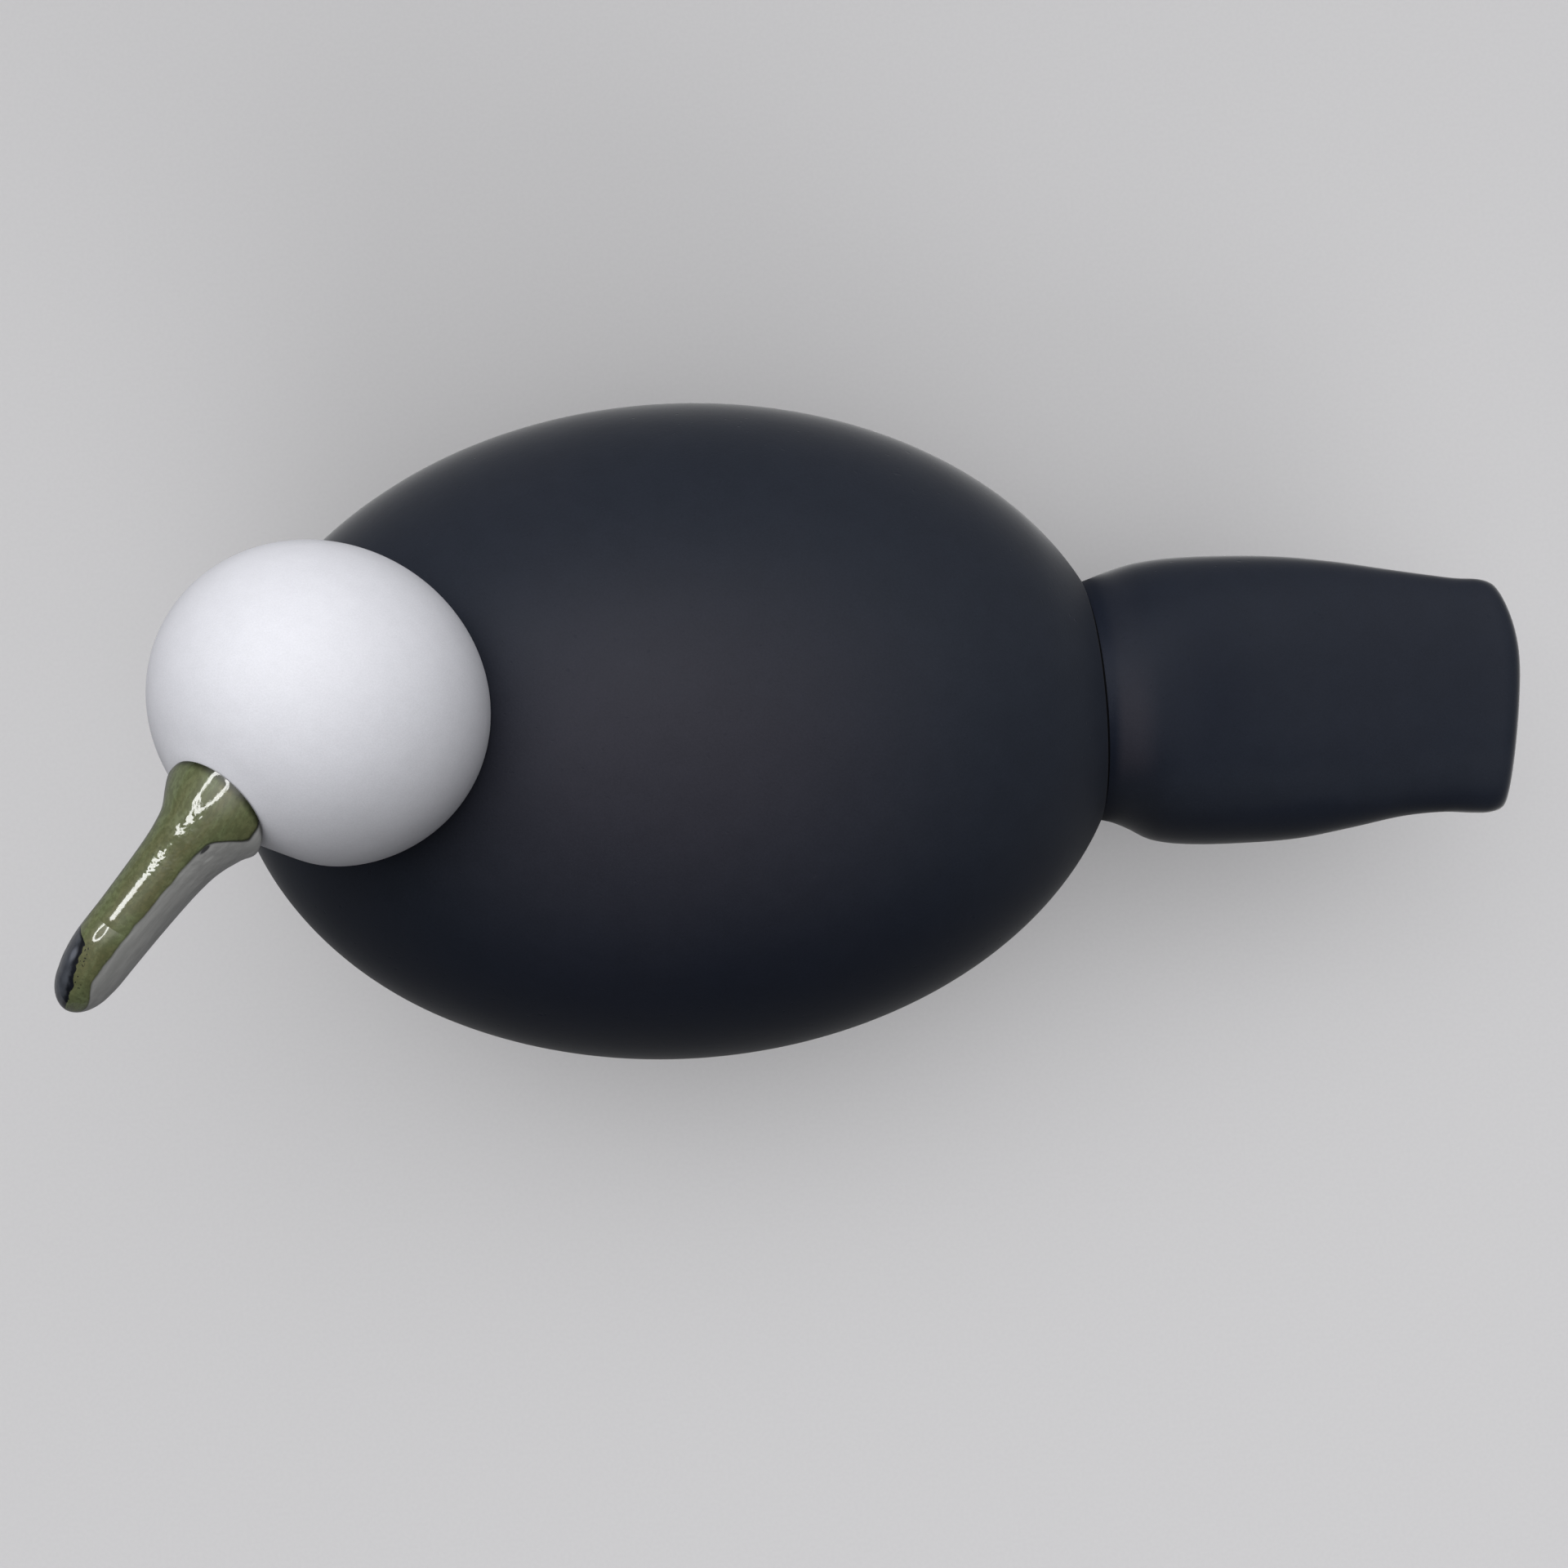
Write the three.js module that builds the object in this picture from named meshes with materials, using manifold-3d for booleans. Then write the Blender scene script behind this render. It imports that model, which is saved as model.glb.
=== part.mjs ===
// Glass bird figurine: a satin black egg-shaped body, a satin white ball for a head,
// a glossy olive bill joined to the head and a flattened satin black paddle for a tail.
// Millimetres. The bird rests on Z = 0, its long axis is X, the tail points to +X.
// The origin is the centre of the ground flat under the body.
import * as THREE from 'three';
import * as BufferGeometryUtils from 'three/addons/utils/BufferGeometryUtils.js';
import Module from 'manifold-3d';

const wasm = await Module();
wasm.setup();

// Body
const BODY_HALF_LENGTH = 80;
const BODY_HALF_WIDTH = 58.7;
const BODY_HALF_HEIGHT = 50;
const BODY_MID_Z = 46.5;          // height of the widest level over the ground flat
const BREAST_SWAY = 1.5;          // the breast is blown a little to the +Y side
const BREAST_FROM = 45;           // distance in front of the middle where that begins
const SEAM_X = 73.9;              // plane where the tail is joined on
const SEAM_TURN = 1.5;            // degrees, the seam's plane is turned about Z
const JOINT_GAP = 0.3;            // hair-line left between two pieces

// Head
const HEAD_CENTRE = new THREE.Vector3(-48.6, 5.6, 99.5);
const HEAD_HALF_WIDE = 24.7;      // across, in the direction of HEAD_TURN
const HEAD_HALF_LONG = 23.4;
const HEAD_HALF_HIGH = 24;
const HEAD_TURN = -44.3;          // degrees from X, of the wide axis
const LIP_HEIGHT = 0.2;           // white glass drawn up round the root of the bill
const LIP_FROM = 19;              // degrees from the middle of the root to where it starts to fade
const LIP_REACH = 5;              // degrees over which it fades out
const CHEEK_DIP = 1.2;            // flat left beside the bill when the bill was pulled
const CHEEK_REACH = 16;           // degrees over which it fades out
const CHEEK_HEADING = -112;       // degrees from X
const CHEEK_RISE = 10;            // degrees over the level of the head's centre

// Bill
const BILL_ROOT = new THREE.Vector3(-60.4, -8.3, 112.9);
const BILL_HEADING = -127.9;      // degrees from X, seen from above
const BILL_ROOT_TURN = -1.3;      // degrees, how far the root section is turned from the heading
const BILL_ROOT_LEAN = 40;        // degrees, how far the root section faces up
const BILL_BACK = -3;             // the bill's blank starts inside the head and is cut by it
const BILL_TIP_FROM = 26.5;       // where the rounded tip starts
const BILL_LENGTH = 34;
const BILL_TIP_DROP = 0.7;
const BILL_TIP_FULLNESS = 2.3;    // exponents of the tip's rounding
const BILL_TIP_BLUNTNESS = 0.55;
const BILL_FOLD = 0.75;           // glass pushed out on the left side of the root
const BILL_FOLD_AT = 0.9;
const BILL_FOLD_REACH = 1.6;
const BILL_FOLD_SIDE = -10;       // degrees round the bill from its left side
const BILL_FOLD_ROUND = 40;       // degrees over which it fades out

// Tail
const TAIL_END_X = 150.2;
const TAIL_RIM = 5;               // length of the rounding at the end
const TAIL_RIM_SQUARE = 2.6;      // squareness of that rounding, seen from the side
const TAIL_RIM_WIDE = 1.9;        // how far it draws the two corners in
const TAIL_PEAK_Y = 3.3;          // furthest point of the end edge
const TAIL_SLANT = 0.19;          // the end edge falls back from there to -Y
const TAIL_SLANT_START = 12;      // distance over which that fall sets in
const TAIL_CORNER = 0.0155;       // and it curves back to +Y, per square mm

// Number of facets
const BODY_ROUND = 60;
const BODY_ALONG = 34;
const HEAD_ROUND = 44;
const HEAD_ALONG = 26;
const BILL_ROUND = 24;
const BILL_ALONG = 15;
const BILL_TIP_ALONG = 6;
const TAIL_ROUND = 44;
const TAIL_ALONG = 16;
const TAIL_RIM_ALONG = 5;
const CLOSER_AT_START = 1.35;     // exponent that sets rings closer together at a joint

const rad = (degrees) => degrees * Math.PI / 180;

// Direction with a heading seen from above and a rise over the level, both in radians
function toward(heading, rise) {
  return new THREE.Vector3(
    Math.cos(rise) * Math.cos(heading),
    Math.cos(rise) * Math.sin(heading),
    Math.sin(rise),
  );
}

// Smooth curve through hand-set stations, each one [position, value, value, ...]
function stations(list) {
  return (x) => {
    const n = list.length;
    let i = 0;
    while (i < n - 2 && x > list[i + 1][0]) {
      i += 1;
    }
    const a = list[Math.max(i - 1, 0)];
    const b = list[i];
    const c = list[i + 1];
    const d = list[Math.min(i + 2, n - 1)];
    const h = c[0] - b[0];
    const t = Math.min(Math.max((x - b[0]) / h, 0), 1);
    const t2 = t * t;
    const t3 = t2 * t;
    return b.slice(1).map((_, k) => {
      const j = k + 1;
      const slopeB = b === a ? (c[j] - b[j]) / h : (c[j] - a[j]) / (c[0] - a[0]);
      const slopeC = d === c ? (c[j] - b[j]) / h : (d[j] - b[j]) / (d[0] - b[0]);
      return (2 * t3 - 3 * t2 + 1) * b[j] + (t3 - 2 * t2 + t) * h * slopeB
        + (3 * t2 - 2 * t3) * c[j] + (t3 - t2) * h * slopeC;
    });
  };
}

// Positions from start to end, closer together at the start
function spread(start, end, count) {
  return Array.from({ length: count + 1 }, (_, i) => start + (end - start) * (i / count) ** CLOSER_AT_START);
}

// Shares 0 to 1 that follow a quarter circle, so that a rounded end gets even facets
function quarter(count) {
  return Array.from({ length: count + 1 }, (_, i) => Math.sin(rad(90) * i / count));
}

// A sphere's net laid over another surface: place(s, v) is the point a share s of the way
// between its two ends, at angle v round it
function wrap(around, along, place) {
  const net = new THREE.SphereGeometry(1, around, along);
  const { position, uv } = net.attributes;
  for (let i = 0; i < position.count; i += 1) {
    const point = place(1 - uv.getY(i), 2 * Math.PI * uv.getX(i));
    position.setXYZ(i, point.x, point.y, point.z);
  }
  return net;
}

function middle(ring) {
  const sum = new THREE.Vector3();
  ring.forEach((p) => sum.add(p));
  return sum.multiplyScalar(1 / ring.length);
}

// Skin over a row of rings. The first ring is filled by a fan, the last one is folded shut.
function loft(rings) {
  const around = rings[0].length;
  const points = [middle(rings[0]), ...rings.flat()];
  const at = (i, j) => 1 + i * around + (j % around);
  const index = [];
  for (let j = 0; j < around; j += 1) {
    index.push(0, at(0, j + 1), at(0, j));
  }
  for (let i = 0; i < rings.length - 1; i += 1) {
    for (let j = 0; j < around; j += 1) {
      index.push(at(i, j), at(i, j + 1), at(i + 1, j + 1));
      index.push(at(i, j), at(i + 1, j + 1), at(i + 1, j));
    }
  }
  const geometry = new THREE.BufferGeometry();
  geometry.setFromPoints(points);
  geometry.setIndex(index);
  return geometry;
}

// Solids for joining and cutting
function solid(geometry) {
  const clean = geometry.clone();
  clean.deleteAttribute('normal');
  clean.deleteAttribute('uv');
  const merged = BufferGeometryUtils.mergeVertices(clean, 1e-4);
  const corners = [];
  for (let i = 0; i < merged.index.count; i += 3) {
    const [a, b, c] = [0, 1, 2].map((k) => merged.index.getX(i + k));
    if (a !== b && b !== c && c !== a) {
      corners.push(a, b, c);
    }
  }
  const mesh = new wasm.Mesh({
    numProp: 3,
    vertProperties: new Float32Array(merged.attributes.position.array),
    triVerts: new Uint32Array(corners),
  });
  return new wasm.Manifold(mesh);
}

function cut(geometry, tools) {
  let left = solid(geometry);
  for (const tool of tools) {
    left = left.subtract(solid(tool));
  }
  const mesh = left.getMesh();
  const result = new THREE.BufferGeometry();
  result.setAttribute('position', new THREE.Float32BufferAttribute(Array.from(mesh.vertProperties), 3));
  result.setIndex(Array.from(mesh.triVerts));
  const flat = result.toNonIndexed();
  flat.computeVertexNormals();
  return flat;
}

// The full egg of the body, before the tail plane and the ground flat are cut
function egg(grow) {
  return wrap(BODY_ROUND, BODY_ALONG, (s, v) => {
    const x = -(BODY_HALF_LENGTH + grow) * Math.cos(Math.PI * s);
    const girth = Math.sin(Math.PI * s);
    const breast = Math.max(0, (-x - BREAST_FROM) / (BODY_HALF_LENGTH - BREAST_FROM));
    return new THREE.Vector3(
      x,
      BREAST_SWAY * breast ** 2 + (BODY_HALF_WIDTH + grow) * girth * Math.cos(v),
      BODY_MID_Z - (BODY_HALF_HEIGHT + grow) * girth * Math.sin(v),
    );
  });
}

function bodyGeometry() {
  const reach = 2 * BODY_HALF_LENGTH;
  const ground = new THREE.BoxGeometry(2 * reach, 2 * reach, reach);
  ground.translate(0, 0, -reach / 2);
  const end = new THREE.BoxGeometry(reach, 2 * reach, 2 * reach);
  end.translate(reach / 2 - JOINT_GAP / 2, 0, 0);
  end.rotateZ(rad(SEAM_TURN));
  end.translate(SEAM_X, 0, 0);
  return cut(egg(0), [ground, end]);
}

// Ball of the head, drawn up a little round the root of the bill and dipped at the cheek
function ball(grow) {
  const wide = toward(rad(HEAD_TURN), 0);
  const long = new THREE.Vector3(-wide.y, wide.x, 0);
  const up = new THREE.Vector3(0, 0, 1);
  const toBill = BILL_ROOT.clone().sub(HEAD_CENTRE).normalize();
  const toCheek = toward(rad(CHEEK_HEADING), rad(CHEEK_RISE));
  return wrap(HEAD_ROUND, HEAD_ALONG, (s, v) => {
    const d = new THREE.Vector3()
      .addScaledVector(up, Math.cos(Math.PI * s))
      .addScaledVector(wide, Math.sin(Math.PI * s) * Math.cos(v))
      .addScaledVector(long, Math.sin(Math.PI * s) * Math.sin(v));
    const radius = 1 / Math.hypot(
      d.dot(up) / HEAD_HALF_HIGH,
      d.dot(wide) / HEAD_HALF_WIDE,
      d.dot(long) / HEAD_HALF_LONG,
    );
    const fromLip = Math.max(d.angleTo(toBill) - rad(LIP_FROM), 0) / rad(LIP_REACH);
    const fromCheek = d.angleTo(toCheek) / rad(CHEEK_REACH);
    const lip = LIP_HEIGHT * Math.exp(-(fromLip ** 2));
    const dip = CHEEK_DIP * Math.exp(-(fromCheek ** 2));
    return HEAD_CENTRE.clone().addScaledVector(d, radius + lip - dip + grow);
  });
}

function headGeometry() {
  return cut(ball(0), [egg(JOINT_GAP)]);
}

// Bill: distance along, shift to its left side, height over the root, radius, share of the root's
// own direction
const billAt = stations([
  [-3, 0.25, -0.2, 8.3, 1],
  [-1, 0.38, 1.3, 7.8, 1],
  [0.6, 0.5, 1.6, 7.5, 0.9],
  [2.2, 0.85, 1.6, 7.1, 0.7],
  [4.2, 1.1, 1.75, 6.2, 0.45],
  [6.4, 0.88, 2, 5.53, 0.28],
  [8.6, 0.65, 2.25, 5.14, 0.15],
  [12, 0.42, 2.7, 4.85, 0.05],
  [18, 0.1, 3.3, 4.6, 0],
  [24, -0.32, 3.4, 4.47, 0],
  [29, -0.37, 3.1, 4.05, 0],
]);

function billRing(t, drop, share) {
  const [shift, height, radius, lean] = billAt(t);
  const heading = rad(BILL_HEADING);
  const ahead = toward(heading, 0);
  const side = new THREE.Vector3(-ahead.y, ahead.x, 0);
  const centre = BILL_ROOT.clone().addScaledVector(ahead, t).addScaledVector(side, shift);
  centre.z += height - drop;
  const turned = heading + rad(BILL_ROOT_TURN * lean);
  const facing = toward(turned, 0);
  const across = new THREE.Vector3(-facing.y, facing.x, 0);
  const tilt = rad(BILL_ROOT_LEAN * lean);
  const crown = new THREE.Vector3(0, 0, Math.cos(tilt)).addScaledVector(facing, -Math.sin(tilt));
  return Array.from({ length: BILL_ROUND }, (_, j) => {
    const v = 2 * Math.PI * j / BILL_ROUND;
    const fromFold = Math.acos(Math.cos(v - rad(BILL_FOLD_SIDE))) / rad(BILL_FOLD_ROUND);
    const alongFold = (t - BILL_FOLD_AT) / BILL_FOLD_REACH;
    const reach = radius * share + BILL_FOLD * Math.exp(-(fromFold ** 2) - alongFold ** 2);
    return centre.clone()
      .addScaledVector(across, reach * Math.cos(v))
      .addScaledVector(crown, reach * Math.sin(v));
  });
}

function billGeometry() {
  const rings = spread(BILL_BACK, BILL_TIP_FROM, BILL_ALONG).map((t) => billRing(t, 0, 1));
  for (const s of quarter(BILL_TIP_ALONG).slice(1)) {
    const share = (1 - s ** BILL_TIP_FULLNESS) ** BILL_TIP_BLUNTNESS;
    rings.push(billRing(BILL_TIP_FROM + (BILL_LENGTH - BILL_TIP_FROM) * s, BILL_TIP_DROP * s * s, share));
  }
  return cut(loft(rings), [ball(JOINT_GAP)]);
}

// Tail: distance X, +Y edge, -Y edge, underside, top, squareness of the section
const tailAt = stations([
  [74, 22.3, -20.6, 27.5, 65.5, 2],
  [77, 23.3, -21.4, 27.1, 66.3, 2.05],
  [80, 24.3, -22.8, 27, 66.7, 2.1],
  [84, 25.2, -25, 27.2, 67, 2.25],
  [90, 25.6, -26.1, 28.6, 66.5, 2.4],
  [100, 25.3, -26.5, 31.4, 64.6, 2.6],
  [110, 24.5, -26.3, 34.2, 62.6, 2.7],
  [120, 23, -25, 37, 60.7, 2.8],
  [130, 21, -23.5, 39.8, 59, 2.9],
  [138, 19.4, -23.2, 42, 57.9, 3],
  [144, 18.4, -23.7, 43.4, 57.3, 3],
  [152, 18.1, -24.2, 44.6, 57, 3],
]);

// How far the end edge lies behind its furthest point
function endEdge(y) {
  const d = TAIL_PEAK_Y - y;
  return d > 0 ? TAIL_SLANT * d * d / (d + TAIL_SLANT_START) : TAIL_CORNER * d * d;
}

function tailRing(x, s) {
  const [right, left, under, top, square] = tailAt(x);
  const wide = (right - left) / 2 - TAIL_RIM_WIDE * (1 - Math.sqrt(1 - s * s));
  const high = (top - under) / 2 * (1 - s ** TAIL_RIM_SQUARE) ** (1 / TAIL_RIM_SQUARE);
  const along = (x - SEAM_X) / (TAIL_END_X - SEAM_X);
  const round = (c) => Math.sign(c) * Math.abs(c) ** (2 / square);
  return Array.from({ length: TAIL_ROUND }, (_, j) => {
    const v = 2 * Math.PI * j / TAIL_ROUND;
    const y = (right + left) / 2 + wide * round(Math.cos(v));
    const z = (top + under) / 2 + high * round(Math.sin(v));
    const turn = y * Math.tan(rad(SEAM_TURN)) * (1 - along) ** 4;
    return new THREE.Vector3(x - turn - endEdge(y) * along ** 3, y, z);
  });
}

function tailGeometry() {
  const start = SEAM_X + JOINT_GAP / 2;
  const rings = spread(start, TAIL_END_X - TAIL_RIM, TAIL_ALONG).map((x) => tailRing(x, 0));
  for (const s of quarter(TAIL_RIM_ALONG).slice(1)) {
    rings.push(tailRing(TAIL_END_X - TAIL_RIM + TAIL_RIM * s, s));
  }
  return cut(loft(rings), []);
}

// Glass
const satinBlack = new THREE.MeshStandardMaterial({ color: 0x1d1f26, roughness: 0.55, metalness: 0 });
const satinWhite = new THREE.MeshStandardMaterial({ color: 0xe4e6ec, roughness: 0.5, metalness: 0 });
const oliveLustre = new THREE.MeshStandardMaterial({ color: 0x5c6638, roughness: 0.08, metalness: 0.2 });
const satinBlackTail = new THREE.MeshStandardMaterial({ color: 0x1c1e24, roughness: 0.52, metalness: 0 });

function piece(name, geometry, material) {
  const mesh = new THREE.Mesh(geometry, material);
  mesh.name = name;
  return mesh;
}

const bird = new THREE.Group();
bird.name = 'glass_bird';
bird.add(piece('body', bodyGeometry(), satinBlack));
bird.add(piece('head', headGeometry(), satinWhite));
bird.add(piece('bill', billGeometry(), oliveLustre));
bird.add(piece('tail', tailGeometry(), satinBlackTail));

export default bird;
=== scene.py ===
import math

import bpy
import numpy as np
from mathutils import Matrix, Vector


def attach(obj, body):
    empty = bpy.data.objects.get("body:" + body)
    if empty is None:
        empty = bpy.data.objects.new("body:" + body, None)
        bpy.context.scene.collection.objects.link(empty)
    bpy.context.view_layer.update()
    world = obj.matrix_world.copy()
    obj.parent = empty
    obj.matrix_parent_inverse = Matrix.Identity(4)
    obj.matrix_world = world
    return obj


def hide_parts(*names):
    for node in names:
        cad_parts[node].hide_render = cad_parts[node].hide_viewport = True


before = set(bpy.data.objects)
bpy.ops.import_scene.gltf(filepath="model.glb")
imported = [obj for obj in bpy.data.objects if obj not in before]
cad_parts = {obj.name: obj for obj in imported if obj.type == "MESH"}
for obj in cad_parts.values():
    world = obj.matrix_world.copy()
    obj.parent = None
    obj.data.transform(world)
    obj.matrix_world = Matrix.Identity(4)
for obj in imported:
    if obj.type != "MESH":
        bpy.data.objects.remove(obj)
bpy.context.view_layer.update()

# Glass bird figurine: the fine surface of its four pieces of glass, a plain pale floor,
# soft light and a camera that looks straight down on it.
# Shapes are worked out in millimetres and written to the meshes in metres.

MM = 0.001
PI = math.pi
UP = np.array([0, 0, 1.0])
HALVINGS = 40
SHARP_ANGLE = math.radians(38)

# Body
BODY_HALF_LENGTH = 80.0
BODY_HALF_WIDTH = 58.7
BODY_HALF_HEIGHT = 50.0
BODY_MID_Z = 46.5
BREAST_SWAY = 1.5
BREAST_FROM = 45.0
GROUND_EDGE = 0.5
SEAM_X = 73.9
SEAM_TURN = math.radians(1.5)
SEAM_EDGE = 0.35
JOINT_GAP = 0.3
BODY_RINGS = 280
BODY_AROUND = 320
BODY_FACE_SHARES = (1, 0.9, 0.6, 0.3)

# Head
HEAD_CENTRE = np.array([-48.6, 5.6, 99.5])
HEAD_HALF_WIDE = 24.7
HEAD_HALF_LONG = 23.4
HEAD_HALF_HIGH = 24.0
HEAD_TURN = math.radians(-44.3)
LIP_HEIGHT = 0.2
LIP_FROM = math.radians(19)
LIP_REACH = math.radians(5)
CHEEK_DIP = 1.2
CHEEK_REACH = math.radians(16)
CHEEK_HEADING = math.radians(-112)
CHEEK_RISE = math.radians(10)
HEAD_RINGS = 200
HEAD_DISH_RINGS = 40
HEAD_AROUND = 380

# Bill
BILL_ROOT = np.array([-60.4, -8.3, 112.9])
BILL_HEADING = math.radians(-127.9)
BILL_ROOT_TURN = math.radians(-1.3)
BILL_ROOT_LEAN = math.radians(40)
BILL_BACK = -3.0
BILL_ROOT_SPAN = 8.0
BILL_TIP_FROM = 26.5
BILL_LENGTH = 34.0
BILL_TIP_DROP = 0.7
BILL_TIP_FULLNESS = 2.3
BILL_TIP_BLUNTNESS = 0.55
BILL_FOLD = 0.75
BILL_FOLD_AT = 0.9
BILL_FOLD_REACH = 1.6
BILL_FOLD_SIDE = math.radians(-10)
BILL_FOLD_ROUND = math.radians(40)
BILL_EDGE_DEPTH = 0.32
BILL_EDGE_REACH = 1.3
BILL_RIDGE = 0.1
BILL_RIDGE_FROM = 5.0
BILL_RIDGE_FADE = 4.0
BILL_RIDGE_TURN = math.radians(98)
BILL_RIDGE_ROUND = math.radians(20)
BILL_RINGS = 110
BILL_TIP_RINGS = 40
BILL_AROUND = 144
BILL_FACE_SHARES = (0.25, 0.5, 0.75, 0.95)
# Along the bill: place, shift to its left, height, radius and lean towards the head
BILL_STATIONS = [
    (-3, 0.25, -0.2, 8.3, 1),
    (-1, 0.38, 1.3, 7.8, 1),
    (0.6, 0.5, 1.6, 7.5, 0.9),
    (2.2, 0.85, 1.6, 7.1, 0.7),
    (4.2, 1.1, 1.75, 6.2, 0.45),
    (6.4, 0.88, 2, 5.53, 0.28),
    (8.6, 0.65, 2.25, 5.14, 0.15),
    (12, 0.42, 2.7, 4.85, 0.05),
    (18, 0.1, 3.3, 4.6, 0),
    (24, -0.32, 3.4, 4.47, 0),
    (29, -0.37, 3.1, 4.05, 0),
]

# Tail
TAIL_END_X = 150.2
TAIL_RIM = 5.0
TAIL_RIM_SQUARE = 2.6
TAIL_RIM_WIDE = 1.9
TAIL_PEAK_Y = 3.3
TAIL_SLANT = 0.19
TAIL_SLANT_START = 12.0
TAIL_CORNER = 0.0155
TAIL_RINGS = 150
TAIL_RINGS_CROWDING = 1.2
TAIL_RIM_RINGS = 40
TAIL_AROUND = 320
TAIL_FACE_SHARES = (0.3, 0.6, 0.9, 0.985)
# Along the tail: x, right side, left side, underside, top and how square its section is
TAIL_STATIONS = [
    (74, 22.3, -20.6, 27.5, 65.5, 2),
    (77, 23.3, -21.4, 27.1, 66.3, 2.05),
    (80, 24.3, -22.8, 27, 66.7, 2.1),
    (84, 25.2, -25, 27.2, 67, 2.25),
    (90, 25.6, -26.1, 28.6, 66.5, 2.4),
    (100, 25.3, -26.5, 31.4, 64.6, 2.6),
    (110, 24.5, -26.3, 34.2, 62.6, 2.7),
    (120, 23, -25, 37, 60.7, 2.8),
    (130, 21, -23.5, 39.8, 59, 2.9),
    (138, 19.4, -23.2, 42, 57.9, 3),
    (144, 18.4, -23.7, 43.4, 57.3, 3),
    (152, 18.1, -24.2, 44.6, 57, 3),
]


def toward(heading, rise=0.0):
    """Direction with a heading seen from above and a rise over the level."""
    return np.array([
        math.cos(rise) * math.cos(heading),
        math.cos(rise) * math.sin(heading),
        math.sin(rise),
    ])


def turns(count):
    """Angles that share out a full turn."""
    return 2 * PI * np.arange(count) / count


def stations(rows):
    """Smooth curve through given stations, each one (position, value, value, ...)."""
    rows = np.array(rows, float)
    at = rows[:, 0]
    values = rows[:, 1:]
    inner = (values[2:] - values[:-2]) / (at[2:] - at[:-2])[:, None]
    first = (values[1] - values[0]) / (at[1] - at[0])
    last = (values[-1] - values[-2]) / (at[-1] - at[-2])
    slope = np.vstack([first, inner, last])

    def curve(x):
        x = np.clip(x, at[0], at[-1])
        i = np.clip(np.searchsorted(at, x) - 1, 0, len(at) - 2)
        step = (at[i + 1] - at[i])[..., None]
        t = (x - at[i])[..., None] / step
        value = (2 * t**3 - 3 * t**2 + 1) * values[i] + (3 * t**2 - 2 * t**3) * values[i + 1]
        value = value + step * ((t**3 - 2 * t**2 + t) * slope[i] + (t**3 - t**2) * slope[i + 1])
        return np.moveaxis(value, -1, 0)

    return curve


def root_between(low, high, inside):
    """Halves the span between low and high until inside(value) changes from True to False there."""
    for _ in range(HALVINGS):
        half = (low + high) / 2
        within = inside(half)
        low = np.where(within, half, low)
        high = np.where(within, high, half)
    return (low + high) / 2


def mesh_piece(name, rings, first, last, material):
    """Closed skin over rings of points, with a point at each end.

    Seen from the first point, the rings run anticlockwise.
    """
    count, around = rings.shape[:2]
    points = np.vstack([first[None], rings.reshape(-1, 3), last[None]]) * MM
    here = 1 + np.arange(around)
    there = 1 + (np.arange(around) + 1) % around
    row = (np.arange(count - 1) * around)[:, None]
    quads = np.stack([here + row, here + row + around, there + row + around, there + row], axis=-1)
    end = len(points) - 1
    back = (count - 1) * around
    faces = [(0, int(a), int(b)) for a, b in zip(here, there)]
    faces += [tuple(q) for q in quads.reshape(-1, 4).tolist()]
    faces += [(end, int(b + back), int(a + back)) for a, b in zip(here, there)]
    mesh = bpy.data.meshes.new(name)
    mesh.from_pydata(points.tolist(), [], faces)
    mesh.polygons.foreach_set("use_smooth", [True] * len(mesh.polygons))
    mesh.set_sharp_from_angle(angle=SHARP_ANGLE)
    mesh.materials.append(material)
    piece = bpy.data.objects.new(name, mesh)
    bpy.context.scene.collection.objects.link(piece)
    return piece


# Body

def sway(x):
    """How far the breast leans to the bird's right."""
    return BREAST_SWAY * np.clip((-x - BREAST_FROM) / (BODY_HALF_LENGTH - BREAST_FROM), 0, None) ** 2


def in_egg(p, grow):
    """Whether points are inside the body's full egg, grown by a distance."""
    level = (p[..., 0] / (BODY_HALF_LENGTH + grow)) ** 2
    level = level + ((p[..., 1] - sway(p[..., 0])) / (BODY_HALF_WIDTH + grow)) ** 2
    level = level + ((p[..., 2] - BODY_MID_Z) / (BODY_HALF_HEIGHT + grow)) ** 2
    return level < 1


def ground_flat(z, soft):
    """Heights with everything below the ground flattened, over a slightly rounded edge."""
    eased = (z + soft) ** 2 / (4 * soft)
    return np.where(z > soft, z, np.where(z < -soft, 0, eased))


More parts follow.
